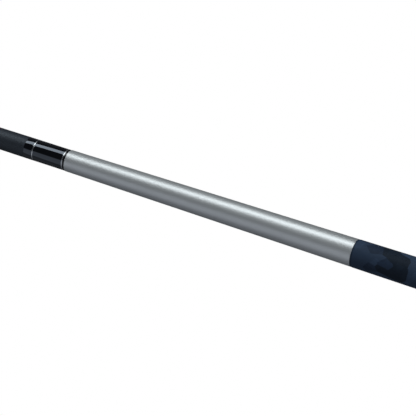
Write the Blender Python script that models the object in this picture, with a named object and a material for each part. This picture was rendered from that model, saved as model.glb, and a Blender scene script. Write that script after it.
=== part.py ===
"""A two-piece deck shuffleboard cue, taken apart by a screw joint.

The cue lies along X with its forked head at -X and its rubber bumper at +X. The shaft axis is
level, one butt radius above the ground, so the cue rests on its two glides and on its butt.
All sizes are in metres. Stations are distances along X, and radii are about the shaft axis.
"""
import math

import bmesh
import bpy

# Overall size and the axis that the pieces are turned about.
CUE_LENGTH = 1.448
BUTT_RADIUS = 0.0159
AXIS_HEIGHT = BUTT_RADIUS
HEAD_TIP_X = -CUE_LENGTH / 2
BUTT_END_X = CUE_LENGTH / 2
GAP = 0.0003
SEGMENTS = 32
SMALL_SEGMENTS = 16
MERGE_DISTANCE = 1e-6
SHARP_ANGLE = math.radians(35)
TOOL_OVERSHOOT = 0.010

# The joint: two collars that meet at a plane, with a thin ring on the front one.
JOINT_X = -0.0122
JOINT_RADIUS = 0.01067
RING_WIDTH = 0.0009
FRONT_COLLAR_LENGTH = 0.0090
REAR_COLLAR_LENGTH = 0.03215
SPACER_WIDTH = 0.0018
COLLAR_BORE = 0.0078
PIN_RADIUS = 0.0047
PIN_BORE = 0.0050
PIN_REACH = 0.0300
PIN_EMBEDDED = 0.0440
PIN_CHAMFER = 0.0010
INSERT_BORE = 0.0052
INSERT_LENGTH = 0.0400
INSERT_SOCKET_DEPTH = 0.0345
INSERT_RADIUS = COLLAR_BORE - GAP
INSERT_CHAMFER = 0.0006
INSERT_MOUTH_CHAMFER = 0.0008
ANCHOR_LENGTH = 0.0450

# The rear half: a cone from the metal sleeve to the butt, in sleeves on a wooden core.
SLEEVE_START_X = 0.02355
SLEEVE_END_X = 0.3282
SLEEVE_START_RADIUS = 0.0109
SLEEVE_END_RADIUS = 0.01338
SLEEVE_WALL = 0.0018
SLEEVE_CHAMFER = 0.0006
GRIP_PROUD = 0.0001
GRIP_CHAMFER = 0.0003
RING_INSET = 0.0001
DARK_RING_WIDTH = 0.0010
GRIP_END_X = 0.6200
GRIP_RING_WIDTH = 0.0020
BUTT_SLEEVE_END_X = 0.6998
BUTT_RING_WIDTH = 0.0018
BUTT_CAP_END_X = 0.7085
BUTT_CAP_CHAMFER = 0.0004
CORE_END_X = BUTT_SLEEVE_END_X + GAP + BUTT_RING_WIDTH

# The weight bolt inside the butt, and the bumper with its screw.
BOLT_RADIUS = 0.0065
BOLT_START_X = 0.6500
BOLT_END_X = 0.6900
BOLT_CHAMFER = 0.0008
BOLT_SOCKET_RADIUS = 0.0035
BOLT_SOCKET_DEPTH = 0.0060
BUMPER_INSET = 0.0005
BUMPER_FLAT_RADIUS = 0.0118
BUMPER_SHOULDER_X = 0.7180
BUMPER_ROUND_LENGTH = 0.0035
BUMPER_ROUND_DEPTH = 0.0018
BUMPER_SCREW_HEAD_RADIUS = 0.0045
BUMPER_SCREW_SHANK_RADIUS = 0.0022
BUMPER_SCREW_SEAT_X = 0.7150
BUMPER_SCREW_HEAD_HEIGHT = 0.0030
BUMPER_SCREW_TIP_X = 0.7035
BUMPER_SCREW_SOCKET_RADIUS = 0.0022
BUMPER_SCREW_SOCKET_DEPTH = 0.0016

# The front half: a tapered tube between the front collar and the head.
SHAFT_TIP_X = -0.6494
SHAFT_TIP_RADIUS = 0.0080
SHAFT_BORE = 0.0061
TENON_RADIUS = SHAFT_BORE - GAP
TENON_START_X = -0.6715
TENON_END_X = -0.6245
TENON_CHAMFER = 0.0006
FERRULE_RADIUS = 0.0097
FERRULE_END_X = -0.6280
FERRULE_CHAMFER = 0.0004
HEAD_RING_RADIUS = 0.0091

# The forked head, whose inner edge is an arc round the disc that it pushes.
DISC_RADIUS = 0.0762
FORK_INNER_RADIUS = DISC_RADIUS + 0.0013
ARM_WIDTH = 0.0120
ARM_THICKNESS = 0.0120
ARM_ANGLE = math.radians(56)
ARM_EDGE_ROUND = 0.0022
NECK_FLARE = 0.0200
NECK_ANGLE = math.radians(11)
NECK_HALF_WIDTH = 0.0070
INNER_ARC_STEPS = 10
TIP_STEPS = 6
OUTER_EDGE_STEPS = 18
OUTER_EDGE_CROWDING = 1.5
HUB_START_X = -0.6840
HUB_END_X = SHAFT_TIP_X - GAP
HUB_RADIUS = 0.0100
HUB_NOSE_RADIUS = 0.0062
HUB_NOSE_LENGTH = 0.0140
HUB_CHAMFER = 0.0008
TIP_CENTRE_RADIUS = FORK_INNER_RADIUS + ARM_WIDTH / 2
DISC_CENTRE_X = HEAD_TIP_X + ARM_WIDTH / 2 - TIP_CENTRE_RADIUS * math.cos(ARM_ANGLE)
HEAD_PIN_X = -0.6610
HEAD_PIN_RADIUS = 0.00125
HEAD_PIN_INSET = 0.0004
HEAD_PIN_CHAMFER = 0.0003

# The nylon glides under the tips of the arms, each held by a countersunk screw.
GLIDE_START_ANGLE = math.radians(33)
GLIDE_END_ANGLE = math.radians(58)
GLIDE_SCREW_ANGLE = math.radians(47)
GLIDE_STEPS = 12
GLIDE_LIFT = 0.0030
GLIDE_FLAT_SHARE = 0.55
GLIDE_SIDE_INSET = 0.0007
GLIDE_FLAT_WIDTH = 0.0064
GLIDE_SIDE_SLOPE = 0.0022
GLIDE_SCREW_HEAD_RADIUS = 0.0030
GLIDE_SCREW_SHANK_RADIUS = 0.0016
GLIDE_SCREW_HEAD_BASE = 0.0012
GLIDE_SCREW_RIM = 0.0004
GLIDE_HOLE_MOUTH = 0.0040
GLIDE_SCREW_CONE_HEIGHT = 0.0016
GLIDE_SCREW_LENGTH = 0.0170

# Colours are linear RGB, followed by roughness and metallic.
MATERIALS = {
    "shaft_carbon": ((0.018, 0.021, 0.026), 0.55, 0.0),
    "collar_black": ((0.006, 0.006, 0.007), 0.12, 0.0),
    "bright_ring": ((0.62, 0.63, 0.64), 0.22, 1.0),
    "sleeve_silver": ((0.50, 0.52, 0.53), 0.34, 1.0),
    "grip_navy": ((0.012, 0.022, 0.040), 0.42, 0.0),
    "ring_black": ((0.008, 0.008, 0.009), 0.30, 0.0),
    "butt_black": ((0.007, 0.007, 0.009), 0.14, 0.0),
    "core_maple": ((0.55, 0.36, 0.19), 0.60, 0.0),
    "core_foam": ((0.62, 0.60, 0.54), 0.85, 0.0),
    "joint_brass": ((0.72, 0.52, 0.22), 0.28, 1.0),
    "pin_steel": ((0.58, 0.58, 0.58), 0.25, 1.0),
    "head_aluminium": ((0.52, 0.53, 0.54), 0.40, 1.0),
    "glide_nylon": ((0.72, 0.71, 0.67), 0.45, 0.0),
    "bumper_rubber": ((0.012, 0.012, 0.012), 0.80, 0.0),
}


def rear_radius(x):
    """Outer radius of the rear half, which tapers from the butt down to the metal sleeve."""
    slope = (SLEEVE_END_RADIUS - SLEEVE_START_RADIUS) / (SLEEVE_END_X - SLEEVE_START_X)
    return min(SLEEVE_START_RADIUS + slope * (x - SLEEVE_START_X), BUTT_RADIUS)


def shaft_radius(x):
    """Outer radius of the front tube, which tapers from the joint down to the head."""
    shaft_end_x = JOINT_X - RING_WIDTH - FRONT_COLLAR_LENGTH - 3 * GAP
    share = (x - SHAFT_TIP_X) / (shaft_end_x - SHAFT_TIP_X)
    return SHAFT_TIP_RADIUS + (JOINT_RADIUS - SHAFT_TIP_RADIUS) * share


def clear_scene():
    for thing in list(bpy.data.objects):
        bpy.data.objects.remove(thing, do_unlink=True)


def make_materials():
    """One Principled material for each finish in MATERIALS."""
    made = {}
    for name, (colour, roughness, metallic) in MATERIALS.items():
        material = bpy.data.materials.new(name)
        material.use_nodes = True
        shader = material.node_tree.nodes["Principled BSDF"]
        shader.inputs["Base Color"].default_value = (*colour, 1.0)
        shader.inputs["Roughness"].default_value = roughness
        shader.inputs["Metallic"].default_value = metallic
        made[name] = material
    return made


def add_body(name):
    """An empty on the shaft axis, which the pieces of one body are parented to."""
    body = bpy.data.objects.new(name + "_frame", None)
    body.location = (JOINT_X, 0.0, AXIS_HEIGHT)
    bpy.context.collection.objects.link(body)
    return body


def add_piece(name, shape, material, body):
    """Turn a bmesh, made about the shaft axis with world stations, into a named object."""
    bmesh.ops.recalc_face_normals(shape, faces=shape.faces)
    mesh = bpy.data.meshes.new(name)
    shape.to_mesh(mesh)
    shape.free()
    mesh.shade_smooth()
    mesh.set_sharp_from_angle(angle=SHARP_ANGLE)
    piece = bpy.data.objects.new(name, mesh)
    if material:
        piece.data.materials.append(material)
    piece.parent = body
    piece.location = (-JOINT_X, 0.0, 0.0)
    bpy.context.collection.objects.link(piece)
    return piece


def turned(outline, closed=False, segments=SEGMENTS):
    """Spin an outline of (station, radius) points about the shaft axis.

    A solid piece's outline starts and ends on the axis, and a tube's is a closed loop.
    """
    shape = bmesh.new()
    points = [shape.verts.new((x, 0.0, radius)) for x, radius in outline]
    ends = points[1:] + points[:1] if closed else points[1:]
    edges = [shape.edges.new(pair) for pair in zip(points, ends)]
    bmesh.ops.spin(shape, geom=points + edges, cent=(0, 0, 0), axis=(1, 0, 0),
                   angle=2 * math.pi, steps=segments, use_merge=True)
    bmesh.ops.remove_doubles(shape, verts=shape.verts, dist=MERGE_DISTANCE)
    return shape


def tube(start, end, outer, bore, chamfer=0.0):
    """A tube between two stations; outer and bore are radii, or functions of the station."""
    outer_at = outer if callable(outer) else lambda x: outer
    bore_at = bore if callable(bore) else lambda x: bore
    outline = [(start, bore_at(start)), (start, outer_at(start) - chamfer)]
    if chamfer:
        outline.append((start + chamfer, outer_at(start + chamfer)))
        outline.append((end - chamfer, outer_at(end - chamfer)))
    outline += [(end, outer_at(end) - chamfer), (end, bore_at(end))]
    return turned(outline, closed=True)


def rod(start, end, radius, chamfer=0.0, segments=SEGMENTS):
    """A plain round bar with chamfered ends."""
    outline = [(start, 0.0), (start, radius - chamfer)]
    if chamfer:
        outline += [(start + chamfer, radius), (end - chamfer, radius)]
    outline += [(end, radius - chamfer), (end, 0.0)]
    return turned(outline, segments=segments)


def upright(shape, x, y):
    """Stand a piece turned about X upright at (x, y), with its stations running up Z."""
    for vertex in shape.verts:
        along, across, up = vertex.co
        vertex.co = (x - up, y + across, along)
    return shape


def use_boolean(piece, tool, operation):
    """Cut a hidden tool out of a piece, or join it on."""
    tool.hide_render = True
    tool.display_type = "WIRE"
    modifier = piece.modifiers.new(operation.lower(), "BOOLEAN")
    modifier.operation = operation
    modifier.solver = "EXACT"
    modifier.object = tool


def fork_outline():
    """Plan outline of the fork: the inner arc, round tips, and an outer edge that flares to the hub."""
    half = []
    for step in range(INNER_ARC_STEPS + 1):
        angle = ARM_ANGLE * step / INNER_ARC_STEPS
        half.append((FORK_INNER_RADIUS * math.cos(angle), FORK_INNER_RADIUS * math.sin(angle)))
    tip_x = TIP_CENTRE_RADIUS * math.cos(ARM_ANGLE)
    tip_y = TIP_CENTRE_RADIUS * math.sin(ARM_ANGLE)
    for step in range(1, TIP_STEPS):
        direction = ARM_ANGLE + math.pi * (1 - step / TIP_STEPS)
        half.append((tip_x + ARM_WIDTH / 2 * math.cos(direction),
                     tip_y + ARM_WIDTH / 2 * math.sin(direction)))
    for step in range(OUTER_EDGE_STEPS):
        angle = ARM_ANGLE * (1 - step / OUTER_EDGE_STEPS) ** OUTER_EDGE_CROWDING
        reach = FORK_INNER_RADIUS + ARM_WIDTH + NECK_FLARE * math.exp(-(angle / NECK_ANGLE) ** 2)
        if reach * math.sin(angle) < NECK_HALF_WIDTH:
            break
        half.append((reach * math.cos(angle), reach * math.sin(angle)))
    mirrored = [(x, -y) for x, y in reversed(half[1:])]
    return half + mirrored


def fork_plate():
    """The flat fork, with rounded edges."""
    shape = bmesh.new()
    low = [shape.verts.new((DISC_CENTRE_X + x, y, -ARM_THICKNESS / 2)) for x, y in fork_outline()]
    face = shape.faces.new(low)
    grown = bmesh.ops.extrude_face_region(shape, geom=[face])
    top = [item for item in grown["geom"] if isinstance(item, bmesh.types.BMVert)]
    bmesh.ops.translate(shape, vec=(0, 0, ARM_THICKNESS), verts=top)
    rims = [edge for edge in shape.edges
            if abs(edge.verts[0].co.z - edge.verts[1].co.z) < MERGE_DISTANCE]
    bmesh.ops.bevel(shape, geom=rims, offset=ARM_EDGE_ROUND, segments=2, affect="EDGES",
                    profile=0.5)
    return shape


def glide(side):
    """A nylon runner swept under one arm, with a flat sole that lifts at both ends."""
    top = -ARM_THICKNESS / 2 - GAP
    inner = FORK_INNER_RADIUS + GLIDE_SIDE_INSET
    outer = FORK_INNER_RADIUS + ARM_WIDTH - GLIDE_SIDE_INSET
    middle = (inner + outer) / 2
    shape = bmesh.new()
    sections = []
    for step in range(GLIDE_STEPS + 1):
        share = step / GLIDE_STEPS
        angle = side * (GLIDE_START_ANGLE + (GLIDE_END_ANGLE - GLIDE_START_ANGLE) * share)
        off_flat = max(0.0, abs(2 * share - 1) - GLIDE_FLAT_SHARE) / (1 - GLIDE_FLAT_SHARE)
        sole = -AXIS_HEIGHT + GLIDE_LIFT * off_flat ** 2
        section = [
            (inner, top),
            (inner, sole + GLIDE_SIDE_SLOPE),
            (middle - GLIDE_FLAT_WIDTH / 2, sole),
            (middle + GLIDE_FLAT_WIDTH / 2, sole),
            (outer, sole + GLIDE_SIDE_SLOPE),
            (outer, top),
        ]
        sections.append([shape.verts.new((DISC_CENTRE_X + radius * math.cos(angle),
                                          radius * math.sin(angle), z)) for radius, z in section])
    for first, second in zip(sections, sections[1:]):
        for index in range(len(first)):
            following = (index + 1) % len(first)
            shape.faces.new((first[index], first[following], second[following], second[index]))
    shape.faces.new(sections[0])
    shape.faces.new(list(reversed(sections[-1])))
    return shape


def glide_screw_place(side):
    """Plan position of the screw that holds one glide."""
    return (DISC_CENTRE_X + TIP_CENTRE_RADIUS * math.cos(GLIDE_SCREW_ANGLE),
            side * TIP_CENTRE_RADIUS * math.sin(GLIDE_SCREW_ANGLE))


def countersunk_outline(clearance):
    """A countersunk screw from its head up, or the hole for it when a clearance is given."""
    base = -AXIS_HEIGHT + GLIDE_SCREW_HEAD_BASE
    head = GLIDE_SCREW_HEAD_RADIUS + clearance
    shank = GLIDE_SCREW_SHANK_RADIUS + clearance
    mouth = base - (GLIDE_HOLE_MOUTH if clearance else 0.0)
    cone_start = base + GLIDE_SCREW_RIM
    cone_end = cone_start + GLIDE_SCREW_CONE_HEIGHT
    tip = base + GLIDE_SCREW_LENGTH + clearance
    return [(mouth, 0.0), (mouth, head), (cone_start, head), (cone_end, shank), (tip, shank), (tip, 0.0)]


def hex_socket(end, depth, radius, body):
    """A six-sided tool that cuts a driver socket into a piece whose +X end is at a station."""
    shape = rod(end - depth, end + TOOL_OVERSHOOT, radius, segments=6)
    return add_piece("socket_tool", shape, None, body)


def build_front_half(finish, body):
    fork = add_piece("fork_head", fork_plate(), finish["head_aluminium"], body)
    hub_outline = [(HUB_START_X, 0.0), (HUB_START_X, HUB_NOSE_RADIUS),
                   (HUB_START_X + HUB_NOSE_LENGTH, HUB_RADIUS), (HUB_END_X - HUB_CHAMFER, HUB_RADIUS),
                   (HUB_END_X, HUB_RADIUS - HUB_CHAMFER), (HUB_END_X, 0.0)]
    use_boolean(fork, add_piece("hub_tool", turned(hub_outline), None, body), "UNION")
    tenon_bore = rod(TENON_START_X - GAP, HUB_END_X + TOOL_OVERSHOOT, SHAFT_BORE)
    use_boolean(fork, add_piece("tenon_bore_tool", tenon_bore, None, body), "DIFFERENCE")
    hole_half = HUB_RADIUS + TOOL_OVERSHOOT
    pin_hole = rod(-hole_half, hole_half, HEAD_PIN_RADIUS + GAP, segments=SMALL_SEGMENTS)
    pin_tool = add_piece("pin_hole_tool", upright(pin_hole, HEAD_PIN_X, 0.0), None, body)
    use_boolean(fork, pin_tool, "DIFFERENCE")

    for side, word in ((1, "left"), (-1, "right")):
        x, y = glide_screw_place(side)
        hole = upright(turned(countersunk_outline(GAP), segments=SMALL_SEGMENTS), x, y)
        hole_tool = add_piece("glide_hole_tool_" + word, hole, None, body)
        use_boolean(fork, hole_tool, "DIFFERENCE")
        runner = add_piece("glide_" + word, glide(side), finish["glide_nylon"], body)
        use_boolean(runner, hole_tool, "DIFFERENCE")
        screw = upright(turned(countersunk_outline(0.0), segments=SMALL_SEGMENTS), x, y)
        add_piece("glide_screw_" + word, screw, finish["pin_steel"], body)

    tenon_rod = rod(TENON_START_X, TENON_END_X, TENON_RADIUS, TENON_CHAMFER)
    tenon = add_piece("head_tenon", tenon_rod, finish["head_aluminium"], body)
    use_boolean(tenon, pin_tool, "DIFFERENCE")
    pin_half = HUB_RADIUS - HEAD_PIN_INSET
    pin = rod(-pin_half, pin_half, HEAD_PIN_RADIUS, HEAD_PIN_CHAMFER, SMALL_SEGMENTS)
    add_piece("head_pin", upright(pin, HEAD_PIN_X, 0.0), finish["pin_steel"], body)

    ferrule = tube(SHAFT_TIP_X, FERRULE_END_X, FERRULE_RADIUS,
                   lambda x: shaft_radius(x) + GAP, FERRULE_CHAMFER)
    add_piece("head_ferrule", ferrule, finish["collar_black"], body)
    ring_start = FERRULE_END_X + GAP
    head_ring = tube(ring_start, ring_start + RING_WIDTH, HEAD_RING_RADIUS,
                     lambda x: shaft_radius(x) + GAP)
    add_piece("head_ring", head_ring, finish["bright_ring"], body)

    collar_end = JOINT_X - RING_WIDTH - 2 * GAP
    collar_start = collar_end - FRONT_COLLAR_LENGTH
    insert_end = JOINT_X - GAP
    insert_start = insert_end - INSERT_LENGTH
    shaft_end = collar_start - GAP
    shaft_outline = [(SHAFT_TIP_X, SHAFT_BORE), (SHAFT_TIP_X, SHAFT_TIP_RADIUS),
                     (shaft_end, shaft_radius(shaft_end)), (shaft_end, COLLAR_BORE),
                     (insert_start - GAP, COLLAR_BORE), (insert_start - GAP, SHAFT_BORE)]
    add_piece("front_shaft", turned(shaft_outline, closed=True), finish["shaft_carbon"], body)
    foam = rod(TENON_END_X + GAP, insert_start - 2 * GAP, SHAFT_BORE - GAP)
    add_piece("shaft_core", foam, finish["core_foam"], body)
    collar = tube(collar_start, collar_end, JOINT_RADIUS, COLLAR_BORE)
    add_piece("front_collar", collar, finish["collar_black"], body)
    socket_floor = insert_end - INSERT_SOCKET_DEPTH
    insert_outline = [(insert_start, 0.0), (insert_start, INSERT_RADIUS - INSERT_CHAMFER),
                      (insert_start + INSERT_CHAMFER, INSERT_RADIUS), (insert_end, INSERT_RADIUS),
                      (insert_end, INSERT_BORE + INSERT_MOUTH_CHAMFER),
                      (insert_end - INSERT_MOUTH_CHAMFER, INSERT_BORE),
                      (socket_floor, INSERT_BORE), (socket_floor, 0.0)]
    add_piece("joint_insert", turned(insert_outline), finish["joint_brass"], body)


def build_joint_ring(finish, body):
    ring = tube(JOINT_X - GAP - RING_WIDTH, JOINT_X - GAP, JOINT_RADIUS, COLLAR_BORE)
    add_piece("joint_ring", ring, finish["bright_ring"], body)


def build_rear_half(finish, body):
    collar_end = JOINT_X + REAR_COLLAR_LENGTH
    collar = tube(JOINT_X, collar_end, JOINT_RADIUS, COLLAR_BORE)
    add_piece("rear_collar", collar, finish["collar_black"], body)
    ring_start = collar_end + GAP
    ring = tube(ring_start, ring_start + RING_WIDTH, JOINT_RADIUS, COLLAR_BORE)
    add_piece("collar_ring", ring, finish["bright_ring"], body)
    spacer_start = ring_start + RING_WIDTH + GAP
    spacer = tube(spacer_start, spacer_start + SPACER_WIDTH, JOINT_RADIUS, COLLAR_BORE)
    add_piece("collar_spacer", spacer, finish["ring_black"], body)

    anchor_end = JOINT_X + ANCHOR_LENGTH
    anchor = tube(JOINT_X, anchor_end, INSERT_RADIUS, PIN_BORE)
    add_piece("pin_anchor", anchor, finish["joint_brass"], body)
    pin = rod(JOINT_X - PIN_REACH, JOINT_X + PIN_EMBEDDED, PIN_RADIUS, PIN_CHAMFER)
    add_piece("joint_pin", pin, finish["pin_steel"], body)

    def sleeve_bore(x):
        return rear_radius(x) - SLEEVE_WALL

    sleeve = tube(SLEEVE_START_X, SLEEVE_END_X, rear_radius, sleeve_bore, SLEEVE_CHAMFER)
    add_piece("forearm_sleeve", sleeve, finish["sleeve_silver"], body)
    dark_start = SLEEVE_END_X + GAP
    dark_end = dark_start + DARK_RING_WIDTH
    dark_ring = tube(dark_start, dark_end, lambda x: rear_radius(x) - RING_INSET, sleeve_bore)
    add_piece("grip_front_ring", dark_ring, finish["ring_black"], body)
    grip = tube(dark_end + GAP, GRIP_END_X, lambda x: rear_radius(x) + GRIP_PROUD, sleeve_bore,
                GRIP_CHAMFER)
    add_piece("grip_sleeve", grip, finish["grip_navy"], body)
    grip_ring_end = GRIP_END_X + GAP + GRIP_RING_WIDTH
    grip_ring = tube(GRIP_END_X + GAP, grip_ring_end, rear_radius, sleeve_bore)
    add_piece("grip_rear_ring", grip_ring, finish["bright_ring"], body)

    level_x = SLEEVE_START_X + (BUTT_RADIUS - SLEEVE_START_RADIUS) * (
        (SLEEVE_END_X - SLEEVE_START_X) / (SLEEVE_END_RADIUS - SLEEVE_START_RADIUS))
    butt_start = grip_ring_end + GAP
    butt_outline = [(butt_start, sleeve_bore(butt_start)), (butt_start, rear_radius(butt_start)),
                    (level_x, BUTT_RADIUS), (BUTT_SLEEVE_END_X, BUTT_RADIUS),
                    (BUTT_SLEEVE_END_X, BUTT_RADIUS - SLEEVE_WALL),
                    (level_x, BUTT_RADIUS - SLEEVE_WALL)]
    add_piece("butt_sleeve", turned(butt_outline, closed=True), finish["butt_black"], body)
    butt_ring = tube(BUTT_SLEEVE_END_X + GAP, CORE_END_X, BUTT_RADIUS - RING_INSET, sleeve_bore)
    add_piece("butt_ring", butt_ring, finish["bright_ring"], body)

    core_start = anchor_end + GAP
    bolt_bore = BOLT_RADIUS + GAP
    bolt_floor = BOLT_START_X - GAP
    core_outline = [(core_start, 0.0), (core_start, sleeve_bore(core_start) - GAP),
                    (level_x, sleeve_bore(level_x) - GAP), (CORE_END_X, sleeve_bore(CORE_END_X) - GAP),
                    (CORE_END_X, bolt_bore), (bolt_floor, bolt_bore), (bolt_floor, 0.0)]
    add_piece("butt_core", turned(core_outline), finish["core_maple"], body)
    bolt_rod = rod(BOLT_START_X, BOLT_END_X, BOLT_RADIUS, BOLT_CHAMFER)
    bolt = add_piece("weight_bolt", bolt_rod, finish["pin_steel"], body)
    use_boolean(bolt, hex_socket(BOLT_END_X, BOLT_SOCKET_DEPTH, BOLT_SOCKET_RADIUS, body), "DIFFERENCE")

    cap_start = CORE_END_X + GAP
    screw_bore = BUMPER_SCREW_SHANK_RADIUS + GAP
    cap = tube(cap_start, BUTT_CAP_END_X, BUTT_RADIUS - RING_INSET, screw_bore, BUTT_CAP_CHAMFER)
    add_piece("butt_cap", cap, finish["butt_black"], body)
    bumper_start = BUTT_CAP_END_X + GAP
    head_bore = BUMPER_SCREW_HEAD_RADIUS + GAP
    seat = BUMPER_SCREW_SEAT_X - GAP
    bumper_radius = BUTT_RADIUS - BUMPER_INSET
    bumper_outline = [(bumper_start, screw_bore), (bumper_start, bumper_radius),
                      (BUMPER_SHOULDER_X, bumper_radius),
                      (BUMPER_SHOULDER_X + BUMPER_ROUND_LENGTH, BUTT_RADIUS - BUMPER_ROUND_DEPTH),
                      (BUTT_END_X, BUMPER_FLAT_RADIUS), (BUTT_END_X, head_bore),
                      (seat, head_bore), (seat, screw_bore)]
    add_piece("bumper", turned(bumper_outline, closed=True), finish["bumper_rubber"], body)
    head_end = BUMPER_SCREW_SEAT_X + BUMPER_SCREW_HEAD_HEIGHT
    screw_outline = [(BUMPER_SCREW_TIP_X, 0.0), (BUMPER_SCREW_TIP_X, BUMPER_SCREW_SHANK_RADIUS),
                     (BUMPER_SCREW_SEAT_X, BUMPER_SCREW_SHANK_RADIUS),
                     (BUMPER_SCREW_SEAT_X, BUMPER_SCREW_HEAD_RADIUS),
                     (head_end, BUMPER_SCREW_HEAD_RADIUS), (head_end, 0.0)]
    screw = add_piece("bumper_screw", turned(screw_outline, segments=SMALL_SEGMENTS),
                      finish["pin_steel"], body)
    screw_socket = hex_socket(head_end, BUMPER_SCREW_SOCKET_DEPTH, BUMPER_SCREW_SOCKET_RADIUS, body)
    use_boolean(screw, screw_socket, "DIFFERENCE")


def main():
    clear_scene()
    finish = make_materials()
    build_front_half(finish, add_body("front_half"))
    build_joint_ring(finish, add_body("joint_ring"))
    build_rear_half(finish, add_body("rear_half"))
    bpy.context.view_layer.update()


main()
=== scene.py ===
"""Looks for the take-apart shuffleboard cue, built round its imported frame."""
import math

import bmesh
import bpy
import numpy as np
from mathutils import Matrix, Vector


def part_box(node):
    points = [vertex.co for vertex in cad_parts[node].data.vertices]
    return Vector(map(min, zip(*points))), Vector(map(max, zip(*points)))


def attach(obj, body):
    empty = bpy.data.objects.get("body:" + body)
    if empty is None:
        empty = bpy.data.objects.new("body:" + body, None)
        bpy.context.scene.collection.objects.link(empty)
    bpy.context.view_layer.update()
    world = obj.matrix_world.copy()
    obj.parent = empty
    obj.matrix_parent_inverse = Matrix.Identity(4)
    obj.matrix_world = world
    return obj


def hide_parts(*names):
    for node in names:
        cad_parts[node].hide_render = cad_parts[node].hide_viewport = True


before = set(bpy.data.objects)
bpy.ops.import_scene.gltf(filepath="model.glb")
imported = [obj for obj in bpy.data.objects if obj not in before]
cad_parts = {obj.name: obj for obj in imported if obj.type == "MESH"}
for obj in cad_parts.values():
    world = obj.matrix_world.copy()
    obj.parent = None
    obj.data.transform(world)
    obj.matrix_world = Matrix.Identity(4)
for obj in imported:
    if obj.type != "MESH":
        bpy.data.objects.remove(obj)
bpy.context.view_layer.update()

# The shaft axis, and how finely pieces are turned about it. Lengths are in metres.
AXIS_Z = sum(corner.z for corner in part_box("butt_sleeve")) / 2
ROUND = 128
THREAD_ROUND = 96
SHARP_ANGLE = 40
THREAD_SHARP_ANGLE = 50
CENTRE_RADIUS = 0.0002
FACE_TOLERANCE = 1e-5

# Neighbours meet across a hairline, where the frame keeps a wider gap.
SEAM_CLOSING = 0.00010
END_SEARCH = 0.0015

# Rounding of the outer edges.
EDGE = 0.00015
SLEEVE_EDGE = 0.00025
FERRULE_EDGE = 0.0005
METAL_RING_EDGE = 0.0003
BUTT_CAP_EDGE = 0.0004
GLIDE_SCREW_EDGE = 0.0001
BUMPER_SCREW_EDGE = 0.0003
BEVEL_ANGLE = 35

# Castings and mouldings: the voxel of their skin, and how often it is smoothed into fillets.
HEAD_VOXEL = 0.0006
HEAD_ROUNDS = 14
GLIDE_VOXEL = 0.0003
GLIDE_ROUNDS = 8

# The joint's thread: right-handed, two starts, and drawn in by one lead each turn.
THREAD_LEAD = 0.005
THREAD_STARTS = 2
THREAD_PITCH = THREAD_LEAD / THREAD_STARTS
THREAD_DEPTH = 0.0008
THREAD_STEP = THREAD_PITCH / 10
THREAD_CLEARANCE = 0.00007

# Where the thread's crest and flank end, as shares of the pitch from the middle of the crest.
CREST_END = 0.15
FLANK_END = 0.40

# The insert: its edges, and how far from the axis its socket's points lie, in metres and as a share.
INSERT_CHAMFER = 0.0006
INSERT_FACE_EDGE = 0.0002
INSERT_MOUTH = 0.0009
SOCKET_FROM = 0.001
SOCKET_SHARE = 0.75

# The pin: its tapered nose, where its thread runs out, and its plain shank in the anchor.
PIN_NOSE_LENGTH = 0.0014
PIN_NOSE_TAPER = 0.0016
PIN_THREAD_END = 0.0006
PIN_ROOT_END = 0.0004
PIN_SHANK_INSET = 0.0001

# The bumper: two grooves, then a dome to a flat end with a recess for the screw.
GROOVE_STARTS = (0.0022, 0.0044)
GROOVE_HALF_WIDTH = 0.0003
GROOVE_DEPTH = 0.0004
BUMPER_EDGE = 0.0002
SHOULDER_SHARE = 0.55
DOME_SHARE = 0.98
DOME_STEPS = 10
END_RIM = 0.0006
RECESS_EDGE = 0.0004
RECESS_MARGIN = 0.0005

# The camera looks at a point on the axis, beyond the joint ring's centre line.
CAMERA_TARGET_FROM_RING = 0.1891
CAMERA_AZIMUTH = math.radians(27.2)
CAMERA_ELEVATION = math.radians(39.0)
CAMERA_DISTANCE = 1.798
CAMERA_DROP = 0.00232
CAMERA_LENS = 163.9
SENSOR_WIDTH = 36.0

# Studio: directions are angles round the shaft, in degrees, from the front horizon up over the top.
SOFTBOX_LOW = 85.0
SOFTBOX_HIGH = 116.0
SOFTBOX_DISTANCE = 1.30
SOFTBOX_LENGTH = 4.4
SOFTBOX_POWER = 29.5
SOFTBOX_COLOUR = (0.90, 0.965, 1.0)
FILL_COLOUR = (0.90, 0.97, 1.08)
FILL_FRONT = 0.49
FILL_FRONT_TOP = 17.0
FILL_FRONT_BOTTOM = -28.0
FILL_SOFTNESS = 6.0
FILL_LOW = 0.15
FILL_DIM = 0.03

# The room's brightness at angles round the shaft, and the white floor and backdrop.
FILL_BANDS = [(-180, 0.08), (-100, 0.06), (-74, 0.10), (-70, FILL_LOW),
              (FILL_FRONT_BOTTOM - FILL_SOFTNESS, FILL_LOW), (FILL_FRONT_BOTTOM, FILL_FRONT),
              (FILL_FRONT_TOP, FILL_FRONT), (FILL_FRONT_TOP + FILL_SOFTNESS, FILL_DIM),
              (128, FILL_DIM), (145, 0.06), (180, 0.08)]
FLOOR_REACH = 40.0
FLOOR_DROP = 0.0005
BACKDROP_RADIUS = 50.0

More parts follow.
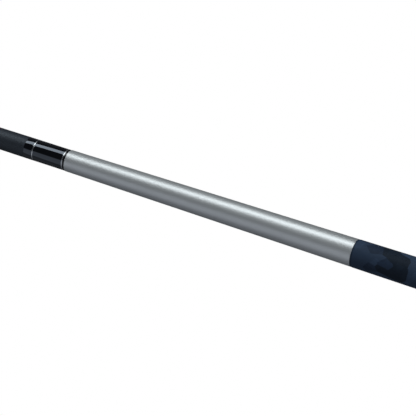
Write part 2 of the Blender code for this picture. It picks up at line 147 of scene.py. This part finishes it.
# The finishes that the photo shows. Colours are linear.
SLEEVE_COLOUR = (0.601, 0.610, 0.606)
SLEEVE_ROUGHNESS = 0.45
SLEEVE_METALLIC = 0.74
SLEEVE_COAT = 0.20
SLEEVE_COAT_ROUGHNESS = 0.47
COLLAR_COLOUR = (0.0022, 0.0024, 0.0030)
COLLAR_IOR = 1.78
COLLAR_TINT = (0.80, 0.88, 1.0, 1.0)
RING_COLOUR = (0.520, 0.535, 0.545)
SHAFT_COLOUR = (0.0156, 0.0187, 0.0242)
SHAFT_ROUGHNESS = 0.54
SHAFT_SPECULAR = 0.48
GRIP_NAVY = (0.0260, 0.0418, 0.0725)
GRIP_EDGE_SHARE = 0.75
GRIP_ROUGHNESS = 0.60
GRIP_SPECULAR = 0.13
MATTE_TINT = (0.80, 0.90, 1.0, 1.0)

# The grip's patches: a cell whose random grey is high is a little lighter, and one that is low is dark.
GRIP_DARK_SHIFT = (24.9, 6.7, 7.2)
GRIP_LIGHT_SHIFT = (32.2, 2.1, 5.7)
GRIP_LIGHT_FROM = 0.72
GRIP_LIGHT_SHARE = 1.20
GRIP_DARK_STOPS = [(0.0, (0.34, 0.34, 0.33)), (0.16, (0.58, 0.60, 0.64)), (0.34, 1.0)]

# The other finishes' colours.
BLACK_COLOUR = (0.0040, 0.0043, 0.0052)
BRASS_COLOUR = (0.70, 0.50, 0.21)
STEEL_COLOUR = (0.52, 0.52, 0.52)
CAST_COLOUR = (0.47, 0.48, 0.49)
NYLON_COLOUR = (0.70, 0.69, 0.65)
RUBBER_COLOUR = (0.011, 0.011, 0.012)
WOOD_COLOUR = (0.50, 0.31, 0.15)
FOAM_COLOUR = (0.60, 0.58, 0.52)

# Sizes of the noises, as repeats per metre along the shaft, across it and upward.
WRAPPED_LAY = (700, 240, 240)
FINE_TOOTH = (3500, 3500, 3500)
POLISH_HAZE = (60, 140, 140)
POLISH_MARKS = (5200, 160, 160)
TURNING_RINGS = (6500, 90, 90)
WEAR_PATCHES = (38, 70, 70)
SATIN_GRAIN = (2600, 1500, 1500)
SATIN_CLOUD = (30, 110, 110)
DARK_PATCHES = (70, 95, 95)
LIGHT_PATCHES = (95, 120, 120)
FILM_GRAIN = (900, 900, 900)
WOOD_GRAIN = (25, 420, 420)
FOAM_CELLS = (1800, 1800, 1800)
CAST_CLOUD = (240, 240, 240)
CAST_PEBBLE = (1900, 1900, 1900)
NYLON_CLOUD = (180, 180, 180)
SLIDING_SCRATCHES = (60, 3800, 900)
RUBBER_CLOUD = (220, 220, 220)
RUBBER_TOOTH = (4200, 4200, 4200)

# The middle range of a noise, which a finish's own range is spread over.
NOISE_LOW = 0.3
NOISE_HIGH = 0.7


# ---------------------------------------------------------------- the frame's sizes

def node_points(node):
    """A CAD node's points as rows of (station, distance from the shaft axis)."""
    rows = [(v.co.x, math.hypot(v.co.y, v.co.z - AXIS_Z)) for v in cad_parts[node].data.vertices]
    return np.array(rows)


def tube_size(node):
    """(start, end, outer radii at both ends, bore radii at both ends) of a turned CAD node."""
    rows = node_points(node)
    start, end = rows[:, 0].min(), rows[:, 0].max()
    reach = min(END_SEARCH, (end - start) / 2)
    first = rows[rows[:, 0] <= start + reach, 1]
    last = rows[rows[:, 0] >= end - reach, 1]
    return start, end, (first.max(), last.max()), (first.min(), last.min())


# ---------------------------------------------------------------- shapes

def new_piece(name, mesh, material, body, replaced):
    """Link a mesh as a piece that rides on a body and stands for a CAD node."""
    mesh.materials.clear()
    mesh.materials.append(material)
    piece = bpy.data.objects.new(name, mesh)
    bpy.context.scene.collection.objects.link(piece)
    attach(piece, body)
    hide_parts(replaced)
    return piece


def finish_mesh(name, shape, sharp=SHARP_ANGLE):
    """A mesh from a bmesh, facing out and shaded smooth up to an angle."""
    bmesh.ops.recalc_face_normals(shape, faces=shape.faces)
    mesh = bpy.data.meshes.new(name)
    shape.to_mesh(mesh)
    shape.free()
    mesh.shade_smooth()
    mesh.set_sharp_from_angle(angle=math.radians(sharp))
    return mesh


def grid_mesh(name, rings, closed, sharp=SHARP_ANGLE):
    """Join rings of points into a skin; an open skin gets a cap at each end."""
    shape = bmesh.new()
    rows = [[shape.verts.new(point) for point in ring] for ring in rings]
    pairs = list(zip(rows, rows[1:]))
    if closed:
        pairs.append((rows[-1], rows[0]))
    count = len(rows[0])
    for first, second in pairs:
        for index in range(count):
            after = (index + 1) % count
            shape.faces.new((first[index], first[after], second[after], second[index]))
    if not closed:
        shape.faces.new(rows[0])
        shape.faces.new(list(reversed(rows[-1])))
    return finish_mesh(name, shape, sharp)


def ring_at(x, radius, count):
    """A circle of points round the shaft axis at one station."""
    return [(x, radius * math.cos(turn), AXIS_Z + radius * math.sin(turn))
            for turn in (2 * math.pi * index / count for index in range(count))]


def turned_mesh(name, outline):
    """A mesh turned from a closed outline of (station, radius) points."""
    return grid_mesh(name, [ring_at(x, radius, ROUND) for x, radius in outline], True)


def rounded_corner(x, radius, way_x, size, steps=3):
    """Points of a quarter round from the outside of a tube on to its end face."""
    turns = [math.pi / 2 * step / steps for step in range(steps + 1)]
    return [(x + way_x * size * (1 - math.sin(turn)), radius - size * (1 - math.cos(turn)))
            for turn in turns]


def tube_outline(start, end, outer, bore, edge):
    """Closed outline of a tube whose outer edges are rounded."""
    first = rounded_corner(start, outer[0], 1, edge)
    last = rounded_corner(end, outer[1], -1, edge)
    return [(start, bore[0])] + list(reversed(first)) + last + [(end, bore[1])]


def turned_tube(node, material, body, edge=EDGE, close_start=True):
    """A fine tube in place of a turned CAD tube, with hairline seams to its neighbours."""
    start, end, outer, bore = tube_size(node)
    start -= SEAM_CLOSING if close_start else 0.0
    end += SEAM_CLOSING
    mesh = turned_mesh(node + "_fine", tube_outline(start, end, outer, bore, edge))
    return new_piece(node + "_fine", mesh, material, body, node)


def bevelled_copy(node, material, body, width):
    """A copy of a CAD node with its sharp edges rounded off."""
    piece = new_piece(node + "_fine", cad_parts[node].data.copy(), material, body, node)
    bevel = piece.modifiers.new("edges", "BEVEL")
    bevel.width = width
    bevel.segments = 2
    bevel.limit_method = "ANGLE"
    bevel.angle_limit = math.radians(BEVEL_ANGLE)
    bevel.use_clamp_overlap = True
    piece.data.shade_smooth()
    return piece


def softened_copy(node, material, body, voxel, rounds):
    """A copy of a CAD node with the soft fillets of a casting or a moulding."""
    piece = new_piece(node + "_soft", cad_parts[node].data.copy(), material, body, node)
    remesh = piece.modifiers.new("skin", "REMESH")
    remesh.mode = "VOXEL"
    remesh.voxel_size = voxel
    remesh.use_smooth_shade = True
    smooth = piece.modifiers.new("fillets", "SMOOTH")
    smooth.factor = 0.5
    smooth.iterations = rounds
    return piece


def thread_height(x, turn):
    """Height of the thread, from 0 at its root to 1 at its crest, for a right-hand helix."""
    away = abs(((x - THREAD_LEAD * turn / (2 * math.pi)) / THREAD_PITCH) % 1.0 - 0.5)
    return min(1.0, max(0.0, (FLANK_END - away) / (FLANK_END - CREST_END)))


def threaded_ring(x, crest_radius):
    """One ring of a threaded surface, which stands THREAD_DEPTH from root to crest."""
    points = []
    for index in range(THREAD_ROUND):
        turn = 2 * math.pi * index / THREAD_ROUND
        radius = crest_radius - THREAD_DEPTH * (1 - thread_height(x, turn))
        points.append((x, radius * math.cos(turn), AXIS_Z + radius * math.sin(turn)))
    return points


def thread_ring_at(x, radius):
    """A plain ring with as many points as a threaded one."""
    return ring_at(x, radius, THREAD_ROUND)


# ---------------------------------------------------------------- materials

def new_material(name, colour, roughness, metallic=0.0, **sockets):
    """A Principled material; other sockets are given by name with _ for a space."""
    material = bpy.data.materials.new(name)
    material.use_nodes = True
    shader = material.node_tree.nodes["Principled BSDF"]
    shader.inputs["Base Color"].default_value = (*colour, 1.0)
    shader.inputs["Roughness"].default_value = roughness
    shader.inputs["Metallic"].default_value = metallic
    for socket, value in sockets.items():
        shader.inputs[socket.replace("_", " ")].default_value = value
    return material


def stretched(material, stretch):
    """Object coordinates, measured from the shaft axis and stretched along each direction."""
    nodes = material.node_tree.nodes
    coordinates = nodes.new("ShaderNodeTexCoord")
    mapping = nodes.new("ShaderNodeMapping")
    mapping.inputs["Location"].default_value = (0.0, 0.0, -AXIS_Z * stretch[2])
    mapping.inputs["Scale"].default_value = stretch
    material.node_tree.links.new(coordinates.outputs["Object"], mapping.inputs["Vector"])
    return mapping.outputs["Vector"]


def noise(material, stretch, detail=3.0, roughness=0.5):
    """A noise factor over the surface."""
    texture = material.node_tree.nodes.new("ShaderNodeTexNoise")
    texture.inputs["Scale"].default_value = 1.0
    texture.inputs["Detail"].default_value = detail
    texture.inputs["Roughness"].default_value = roughness
    material.node_tree.links.new(stretched(material, stretch), texture.inputs["Vector"])
    return texture.outputs["Fac"]


def angular_cells(material, stretch, shift):
    """Random greys in straight-edged cells over the surface, one grey for each cell."""
    nodes = material.node_tree.nodes
    cells = nodes.new("ShaderNodeTexVoronoi")
    cells.inputs["Scale"].default_value = 1.0
    place = nodes.new("ShaderNodeVectorMath")
    place.operation = "ADD"
    place.inputs[1].default_value = shift
    material.node_tree.links.new(stretched(material, stretch), place.inputs[0])
    material.node_tree.links.new(place.outputs["Vector"], cells.inputs["Vector"])
    split = nodes.new("ShaderNodeSeparateColor")
    material.node_tree.links.new(cells.outputs["Color"], split.inputs["Color"])
    return split.outputs["Red"]


def shade(colour, share):
    return tuple(channel * share for channel in colour)


def ramp(material, factor, stops, interpolation="LINEAR"):
    """A colour ramp from (place, colour) stops; a number stands for a grey."""
    node = material.node_tree.nodes.new("ShaderNodeValToRGB")
    node.color_ramp.interpolation = interpolation
    elements = node.color_ramp.elements
    while len(elements) > 1:
        elements.remove(elements[-1])
    for index, (place, colour) in enumerate(stops):
        element = elements[0] if index == 0 else elements.new(place)
        element.position = place
        if isinstance(colour, (int, float)):
            colour = (colour, colour, colour)
        element.color = (*colour, 1.0)
    material.node_tree.links.new(factor, node.inputs["Fac"])
    return node.outputs["Color"]


def multiplied(material, first, second):
    node = material.node_tree.nodes.new("ShaderNodeMix")
    node.data_type = "RGBA"
    node.blend_type = "MULTIPLY"
    node.inputs["Factor"].default_value = 1.0
    material.node_tree.links.new(first, node.inputs["A"])
    material.node_tree.links.new(second, node.inputs["B"])
    return node.outputs["Result"]


def feed(material, output, socket):
    shader = material.node_tree.nodes["Principled BSDF"]
    material.node_tree.links.new(output, shader.inputs[socket])


def vary_colour(material, factor, colour, low, high):
    """Let a noise take the base colour from low to high times itself."""
    stops = [(NOISE_LOW, shade(colour, low)), (NOISE_HIGH, shade(colour, high))]
    feed(material, ramp(material, factor, stops), "Base Color")


def vary_roughness(material, factor, low, high):
    """Let a noise take the roughness from low to high."""
    node = material.node_tree.nodes.new("ShaderNodeMapRange")
    node.inputs["From Min"].default_value = NOISE_LOW
    node.inputs["From Max"].default_value = NOISE_HIGH
    node.inputs["To Min"].default_value = low
    node.inputs["To Max"].default_value = high
    material.node_tree.links.new(factor, node.inputs["Value"])
    feed(material, node.outputs["Result"], "Roughness")


def add_bump(material, height, strength, distance):
    node = material.node_tree.nodes.new("ShaderNodeBump")
    node.inputs["Strength"].default_value = strength
    node.inputs["Distance"].default_value = distance
    material.node_tree.links.new(height, node.inputs["Height"])
    feed(material, node.outputs["Normal"], "Normal")


def carbon_finish():
    """Matte dark blue-grey: faint bands of wrapped fibre and a fine tooth."""
    material = new_material("shaft_carbon_matte", SHAFT_COLOUR, SHAFT_ROUGHNESS,
                            Specular_IOR_Level=SHAFT_SPECULAR, Specular_Tint=MATTE_TINT)
    vary_colour(material, noise(material, WRAPPED_LAY, 2.0), SHAFT_COLOUR, 0.85, 1.18)
    tooth = noise(material, FINE_TOOTH, 2.0)
    vary_roughness(material, tooth, SHAFT_ROUGHNESS - 0.05, SHAFT_ROUGHNESS + 0.05)
    add_bump(material, tooth, 0.12, 0.000015)
    return material


def gloss_black_finish():
    """Polished black resin with faint haze and hairline polishing marks."""
    material = new_material("collar_black_polished", COLLAR_COLOUR, 0.06, IOR=COLLAR_IOR,
                            Specular_Tint=COLLAR_TINT)
    vary_colour(material, noise(material, POLISH_HAZE), COLLAR_COLOUR, 0.8, 1.3)
    marks = noise(material, POLISH_MARKS)
    vary_roughness(material, marks, 0.03, 0.06)
    add_bump(material, marks, 0.04, 0.000002)
    return material


def satin_black_finish():
    """Satin black plastic with fine turning marks."""
    material = new_material("ring_black_satin", BLACK_COLOUR, 0.25)
    marks = noise(material, POLISH_MARKS, 2.0)
    vary_colour(material, marks, BLACK_COLOUR, 0.8, 1.25)
    vary_roughness(material, marks, 0.20, 0.32)
    return material


def turned_metal_finish(name, colour, low, high, marks_depth):
    """Metal turned on a lathe: fine rings round the axis, with slow patches of wear."""
    material = new_material(name, colour, low, 1.0)
    rings = noise(material, TURNING_RINGS, 4.0, 0.6)
    vary_colour(material, noise(material, WEAR_PATCHES, 2.0), colour, 0.94, 1.05)
    vary_roughness(material, rings, low, high)
    add_bump(material, rings, 0.30, marks_depth)
    return material


def sleeve_finish():
    """Satin aluminium under a thin clear film: a soft, wide highlight and a very fine grain."""
    material = new_material("sleeve_silver_satin", SLEEVE_COLOUR, SLEEVE_ROUGHNESS, SLEEVE_METALLIC,
                            Coat_Weight=SLEEVE_COAT, Coat_Roughness=SLEEVE_COAT_ROUGHNESS)
    grain = noise(material, SATIN_GRAIN, 2.0, 0.7)
    vary_colour(material, noise(material, SATIN_CLOUD), SLEEVE_COLOUR, 0.975, 1.02)
    vary_roughness(material, grain, SLEEVE_ROUGHNESS - 0.02, SLEEVE_ROUGHNESS + 0.02)
    add_bump(material, grain, 0.02, 0.000004)
    return material


def grip_finish():
    """Navy film printed with angular patches: dark ones over lighter ones over plain navy."""
    material = new_material("grip_navy_facets", GRIP_NAVY, GRIP_ROUGHNESS,
                            Specular_IOR_Level=GRIP_SPECULAR, Specular_Tint=MATTE_TINT)
    light_cells = angular_cells(material, LIGHT_PATCHES, GRIP_LIGHT_SHIFT)
    light_stops = [(0.0, GRIP_NAVY), (GRIP_LIGHT_FROM, shade(GRIP_NAVY, GRIP_LIGHT_SHARE))]
    light = ramp(material, light_cells, light_stops, "CONSTANT")
    dark_cells = angular_cells(material, DARK_PATCHES, GRIP_DARK_SHIFT)
    dark = ramp(material, dark_cells, GRIP_DARK_STOPS, "CONSTANT")
    grain = noise(material, FILM_GRAIN)
    mottle = ramp(material, grain, [(NOISE_LOW, 0.93), (NOISE_HIGH, 1.0)])
    feed(material, multiplied(material, multiplied(material, light, dark), mottle), "Base Color")
    vary_roughness(material, grain, GRIP_ROUGHNESS - 0.04, GRIP_ROUGHNESS + 0.04)
    add_bump(material, grain, 0.08, 0.00002)
    return material


def navy_edge_finish():
    """Navy a little darker and glossier than the grip's face, for the narrow ring at the grip's front
    end.
    """
    colour = shade(GRIP_NAVY, GRIP_EDGE_SHARE)
    material = new_material("grip_edge_navy", colour, 0.40, Specular_IOR_Level=GRIP_SPECULAR)
    marks = noise(material, POLISH_MARKS, 2.0)
    vary_colour(material, marks, colour, 0.85, 1.1)
    vary_roughness(material, marks, 0.36, 0.46)
    return material


def wood_finish():
    """Maple, with its grain along the shaft."""
    material = new_material("core_maple_wood", WOOD_COLOUR, 0.55)
    grain = noise(material, WOOD_GRAIN, 5.0, 0.6)
    stops = [(0.3, shade(WOOD_COLOUR, 0.72)), (0.6, WOOD_COLOUR), (0.75, shade(WOOD_COLOUR, 1.12))]
    feed(material, ramp(material, grain, stops), "Base Color")
    vary_roughness(material, grain, 0.50, 0.65)
    add_bump(material, grain, 0.2, 0.00005)
    return material


def foam_finish():
    """Rigid foam with open cells."""
    material = new_material("core_foam_cells", FOAM_COLOUR, 0.85)
    cells = noise(material, FOAM_CELLS, 2.0)
    stops = [(0.35, shade(FOAM_COLOUR, 0.75)), (0.65, FOAM_COLOUR)]
    feed(material, ramp(material, cells, stops), "Base Color")
    add_bump(material, cells, 0.8, 0.0003)
    return material


def cast_metal_finish():
    """Tumbled aluminium: a soft pebble, cloudy roughness and darker low spots."""
    material = new_material("head_aluminium_satin", CAST_COLOUR, 0.36, 1.0)
    cloud = noise(material, CAST_CLOUD, 5.0, 0.6)
    vary_colour(material, cloud, CAST_COLOUR, 0.93, 1.04)
    vary_roughness(material, cloud, 0.36, 0.41)
    add_bump(material, noise(material, CAST_PEBBLE, 2.0), 0.55, 0.00006)
    return material


def nylon_finish():
    """Moulded nylon: milky, with sliding scratches along the sole."""
    material = new_material("glide_nylon_moulded", NYLON_COLOUR, 0.42)
    scratches = noise(material, SLIDING_SCRATCHES)
    vary_colour(material, noise(material, NYLON_CLOUD), NYLON_COLOUR, 0.90, 1.04)
    vary_roughness(material, scratches, 0.34, 0.52)
    add_bump(material, scratches, 0.25, 0.00003)
    return material


def rubber_finish():
    """Moulded black rubber with a dry bloom and a fine tooth."""
    material = new_material("bumper_rubber_moulded", RUBBER_COLOUR, 0.62)
    cloud = noise(material, RUBBER_CLOUD, 4.0)
    vary_colour(material, cloud, RUBBER_COLOUR, 0.8, 1.35)
    vary_roughness(material, cloud, 0.55, 0.72)
    add_bump(material, noise(material, RUBBER_TOOTH, 2.0), 0.5, 0.00004)
    return material


# ---------------------------------------------------------------- the front half

def build_front_half(finish):
    body = "front_half"
    turned_tube("front_shaft", finish["carbon"], body)
    turned_tube("front_collar", finish["gloss"], body)
    turned_tube("head_ferrule", finish["gloss"], body, FERRULE_EDGE)
    turned_tube("head_ring", finish["bright"], body, METAL_RING_EDGE)
    softened_copy("fork_head", finish["cast"], body, HEAD_VOXEL, HEAD_ROUNDS)
    for side in ("left", "right"):
        softened_copy("glide_" + side, finish["nylon"], body, GLIDE_VOXEL, GLIDE_ROUNDS)
        bevelled_copy("glide_screw_" + side, finish["steel"], body, GLIDE_SCREW_EDGE)
    build_insert(finish["brass"])


def build_insert(material):
    """The brass insert, with its threaded socket."""
    start, end, outer, _ = tube_size("joint_insert")
    rows = node_points("joint_insert")
    socket = rows[(rows[:, 1] > SOCKET_FROM) & (rows[:, 1] < outer[1] * SOCKET_SHARE)]
    floor = socket[:, 0].min()
    crest = socket[:, 1].min() + THREAD_CLEARANCE
    rings = [thread_ring_at(start, CENTRE_RADIUS),
             thread_ring_at(start, outer[0] - INSERT_CHAMFER),
             thread_ring_at(start + INSERT_CHAMFER, outer[0]),
             thread_ring_at(end - INSERT_FACE_EDGE, outer[1]),
             thread_ring_at(end, outer[1] - INSERT_FACE_EDGE),
             thread_ring_at(end, crest + INSERT_MOUTH)]
    x = end - INSERT_MOUTH
    while x > floor + THREAD_STEP:
        rings.append(threaded_ring(x, crest + THREAD_DEPTH))
        x -= THREAD_STEP
    rings += [thread_ring_at(floor, crest), thread_ring_at(floor, CENTRE_RADIUS)]
    mesh = grid_mesh("joint_insert_fine", rings, False, THREAD_SHARP_ANGLE)
    new_piece("joint_insert_fine", mesh, material, "front_half", "joint_insert")


# ---------------------------------------------------------------- the rear half

def build_rear_half(finish):
    body = "rear_half"
    turned_tube("rear_collar", finish["gloss"], body)
    turned_tube("collar_ring", finish["bright"], body)
    turned_tube("collar_spacer", finish["satin_black"], body)
    turned_tube("pin_anchor", finish["brass"], body, close_start=False)
    turned_tube("forearm_sleeve", finish["silver"], body, SLEEVE_EDGE)
    turned_tube("grip_front_ring", finish["navy_edge"], body)
    turned_tube("grip_sleeve", finish["grip"], body)
    turned_tube("grip_rear_ring", finish["bright"], body, METAL_RING_EDGE)
    build_butt_sleeve(finish["gloss"])
    turned_tube("butt_ring", finish["bright"], body, METAL_RING_EDGE)
    turned_tube("butt_cap", finish["satin_black"], body, BUTT_CAP_EDGE)
    build_bumper(finish["rubber"])
    build_pin(finish["steel"])
    bevelled_copy("bumper_screw", finish["steel"], body, BUMPER_SCREW_EDGE)


def build_butt_sleeve(material):
    """The butt sleeve, which ends its taper part of the way along."""
    rows = node_points("butt_sleeve")
    start, end, outer, bore = tube_size("butt_sleeve")
    widest = rows[:, 1].max()
    level = rows[rows[:, 1] > widest - FACE_TOLERANCE, 0].min()
    first = rounded_corner(start - SEAM_CLOSING, outer[0], 1, EDGE)
    last = rounded_corner(end + SEAM_CLOSING, outer[1], -1, EDGE)
    outline = [(start, bore[0])] + list(reversed(first)) + [(level, widest)] + last + [(end, bore[1])]
    mesh = turned_mesh("butt_sleeve_fine", outline)
    new_piece("butt_sleeve_fine", mesh, material, "rear_half", "butt_sleeve")


def build_bumper(material):
    """The bumper: a soft domed shoulder, two moulded grooves and a flat end round its screw."""
    rows = node_points("bumper")
    start, end = rows[:, 0].min(), rows[:, 0].max()
    widest = rows[:, 1].max()
    at_end = rows[rows[:, 0] > end - FACE_TOLERANCE, 1]
    flat, recess = at_end.max(), at_end.min()
    shank = rows[:, 1].min()
    seat = rows[rows[:, 1] < recess - RECESS_MARGIN, 0].max()
    shoulder = start + (end - start) * SHOULDER_SHARE
    outline = [(start, shank), (start, widest - 2 * BUMPER_EDGE), (start + BUMPER_EDGE, widest)]
    for groove in GROOVE_STARTS:
        outline += [(start + groove, widest), (start + groove + GROOVE_HALF_WIDTH, widest - GROOVE_DEPTH),
                    (start + groove + 2 * GROOVE_HALF_WIDTH, widest)]
    for step in range(DOME_STEPS + 1):
        turn = math.pi / 2 * step / DOME_STEPS
        outline.append((shoulder + (end - shoulder) * math.sin(turn) * DOME_SHARE,
                        flat + (widest - flat) * math.cos(turn)))
    outline += [(end, flat - END_RIM), (end, recess + RECESS_EDGE), (end - RECESS_EDGE, recess),
                (seat, recess), (seat, shank)]
    mesh = turned_mesh("bumper_fine", outline)
    new_piece("bumper_fine", mesh, material, "rear_half", "bumper")


def build_pin(material):
    """The stud, threaded from its nose to the anchor's face."""
    rows = node_points("joint_pin")
    start, end, radius = rows[:, 0].min(), rows[:, 0].max(), rows[:, 1].max()
    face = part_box("pin_anchor")[0].x
    rings = [thread_ring_at(start, CENTRE_RADIUS), thread_ring_at(start, radius - PIN_NOSE_TAPER)]
    x = start + THREAD_STEP
    while x < face - PIN_THREAD_END:
        taper = PIN_NOSE_TAPER * max(0.0, 1 - (x - start) / PIN_NOSE_LENGTH)
        rings.append(threaded_ring(x, radius - taper))
        x += THREAD_STEP
    rings += [thread_ring_at(face - PIN_ROOT_END, radius - THREAD_DEPTH),
              thread_ring_at(face, radius - PIN_SHANK_INSET),
              thread_ring_at(end, radius - PIN_SHANK_INSET),
              thread_ring_at(end, CENTRE_RADIUS)]
    mesh = grid_mesh("joint_pin_threaded", rings, False, THREAD_SHARP_ANGLE)
    new_piece("joint_pin_threaded", mesh, material, "rear_half", "joint_pin")


def dress_frame(finish):
    """Better materials for the CAD nodes that keep their own shape."""
    kept = {"shaft_core": "foam", "butt_core": "wood", "head_tenon": "cast", "head_pin": "steel",
            "weight_bolt": "steel"}
    for node, name in kept.items():
        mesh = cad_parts[node].data
        mesh.materials.clear()
        mesh.materials.append(finish[name])


# ---------------------------------------------------------------- the studio

def build_stage():
    """A pale floor and a pale backdrop, which light nothing and are not reflected."""
    paper = bpy.data.materials.new("studio_paper")
    paper.use_nodes = True
    nodes = paper.node_tree.nodes
    nodes.clear()
    output = nodes.new("ShaderNodeOutputMaterial")
    glow = nodes.new("ShaderNodeEmission")
    glow.inputs["Color"].default_value = (1.0, 1.0, 1.0, 1.0)
    glow.inputs["Strength"].default_value = 1.0
    paper.node_tree.links.new(glow.outputs["Emission"], output.inputs["Surface"])

    shape = bmesh.new()
    bmesh.ops.create_grid(shape, x_segments=1, y_segments=1, size=FLOOR_REACH)
    floor = bpy.data.objects.new("studio_floor", finish_mesh("studio_floor", shape))
    floor.location.z = -FLOOR_DROP
    shape = bmesh.new()
    bmesh.ops.create_icosphere(shape, subdivisions=4, radius=BACKDROP_RADIUS)
    backdrop = bpy.data.objects.new("studio_backdrop", finish_mesh("studio_backdrop", shape))
    for thing in (floor, backdrop):
        thing.data.materials.append(paper)
        bpy.context.scene.collection.objects.link(thing)
        thing.visible_diffuse = False
        thing.visible_glossy = False
        thing.visible_transmission = False
        thing.visible_shadow = False


def aim(thing, back):
    """Turn a light or a camera so that its back points along a direction."""
    thing.rotation_euler = Vector(back).to_track_quat("Z", "Y").to_euler()


def round_direction(degrees):
    """Unit vector round the shaft: 0 is level at the front, and 90 is straight up."""
    turn = math.radians(degrees)
    return Vector((0.0, -math.cos(turn), math.sin(turn)))


def build_softbox():
    """A long box over the cue and a little behind it, whose edges show in the polished parts."""
    light = bpy.data.lights.new("softbox", "AREA")
    light.shape = "RECTANGLE"
    half_angle = math.radians((SOFTBOX_HIGH - SOFTBOX_LOW) / 2)
    light.size = SOFTBOX_LENGTH
    light.size_y = 2 * SOFTBOX_DISTANCE * math.tan(half_angle)
    light.energy = SOFTBOX_POWER
    light.color = SOFTBOX_COLOUR
    box = bpy.data.objects.new("softbox", light)
    back = round_direction((SOFTBOX_LOW + SOFTBOX_HIGH) / 2)
    box.location = Vector((0.0, 0.0, AXIS_Z)) + back * SOFTBOX_DISTANCE
    aim(box, back)
    box.visible_camera = False
    bpy.context.scene.collection.objects.link(box)


def build_fill():
    """Dim light from all round the room, as brightness against the angle round the shaft."""
    world = bpy.data.worlds.new("studio")
    bpy.context.scene.world = world
    world.use_nodes = True
    tree = world.node_tree
    coordinates = tree.nodes.new("ShaderNodeTexCoord")
    split = tree.nodes.new("ShaderNodeSeparateXYZ")
    tree.links.new(coordinates.outputs["Generated"], split.inputs["Vector"])
    forward = tree.nodes.new("ShaderNodeMath")
    forward.operation = "MULTIPLY"
    forward.inputs[1].default_value = -1.0
    tree.links.new(split.outputs["Y"], forward.inputs[0])
    angle = tree.nodes.new("ShaderNodeMath")
    angle.operation = "ARCTAN2"
    tree.links.new(split.outputs["Z"], angle.inputs[0])
    tree.links.new(forward.outputs["Value"], angle.inputs[1])
    place = tree.nodes.new("ShaderNodeMapRange")
    place.inputs["From Min"].default_value = -math.pi
    place.inputs["From Max"].default_value = math.pi
    tree.links.new(angle.outputs["Value"], place.inputs["Value"])
    bands = tree.nodes.new("ShaderNodeValToRGB")
    bands.color_ramp.interpolation = "LINEAR"
    elements = bands.color_ramp.elements
    for degrees, _ in FILL_BANDS[1:-1]:
        elements.new((degrees + 180) / 360)
    for element, (degrees, brightness) in zip(elements, FILL_BANDS):
        element.position = (degrees + 180) / 360
        element.color = (*shade(FILL_COLOUR, brightness), 1.0)
    tree.links.new(place.outputs["Result"], bands.inputs["Fac"])
    tree.links.new(bands.outputs["Color"], tree.nodes["Background"].inputs["Color"])


def build_camera():
    """The camera, at the photograph's view of the joint, the sleeve and the start of the grip."""
    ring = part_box("joint_ring")
    target = Vector(((ring[0].x + ring[1].x) / 2 + CAMERA_TARGET_FROM_RING, 0.0, AXIS_Z))
    back = Vector((math.sin(CAMERA_AZIMUTH) * math.cos(CAMERA_ELEVATION),
                   -math.cos(CAMERA_AZIMUTH) * math.cos(CAMERA_ELEVATION),
                   math.sin(CAMERA_ELEVATION)))
    right = Vector((math.cos(CAMERA_AZIMUTH), math.sin(CAMERA_AZIMUTH), 0.0))
    upward = back.cross(right)
    data = bpy.data.cameras.new("photo_view")
    data.sensor_width = SENSOR_WIDTH
    data.lens = CAMERA_LENS
    data.clip_start = 0.01
    data.clip_end = 200.0
    camera = bpy.data.objects.new("photo_view", data)
    camera.location = target + back * CAMERA_DISTANCE - upward * CAMERA_DROP
    aim(camera, back)
    bpy.context.scene.collection.objects.link(camera)
    bpy.context.scene.camera = camera


def main():
    finish = {
        "carbon": carbon_finish(),
        "gloss": gloss_black_finish(),
        "satin_black": satin_black_finish(),
        "bright": turned_metal_finish("bright_ring_polished", RING_COLOUR, 0.27, 0.33, 0.000004),
        "silver": sleeve_finish(),
        "grip": grip_finish(),
        "navy_edge": navy_edge_finish(),
        "wood": wood_finish(),
        "foam": foam_finish(),
        "brass": turned_metal_finish("joint_brass_turned", BRASS_COLOUR, 0.20, 0.34, 0.00001),
        "steel": turned_metal_finish("pin_steel_turned", STEEL_COLOUR, 0.18, 0.30, 0.000008),
        "cast": cast_metal_finish(),
        "nylon": nylon_finish(),
        "rubber": rubber_finish(),
    }
    build_front_half(finish)
    turned_tube("joint_ring", finish["bright"], "joint_ring")
    build_rear_half(finish)
    dress_frame(finish)
    build_stage()
    build_softbox()
    build_fill()
    build_camera()
    bpy.context.scene.view_settings.view_transform = "Standard"
    bpy.context.scene.view_settings.look = "None"


main()
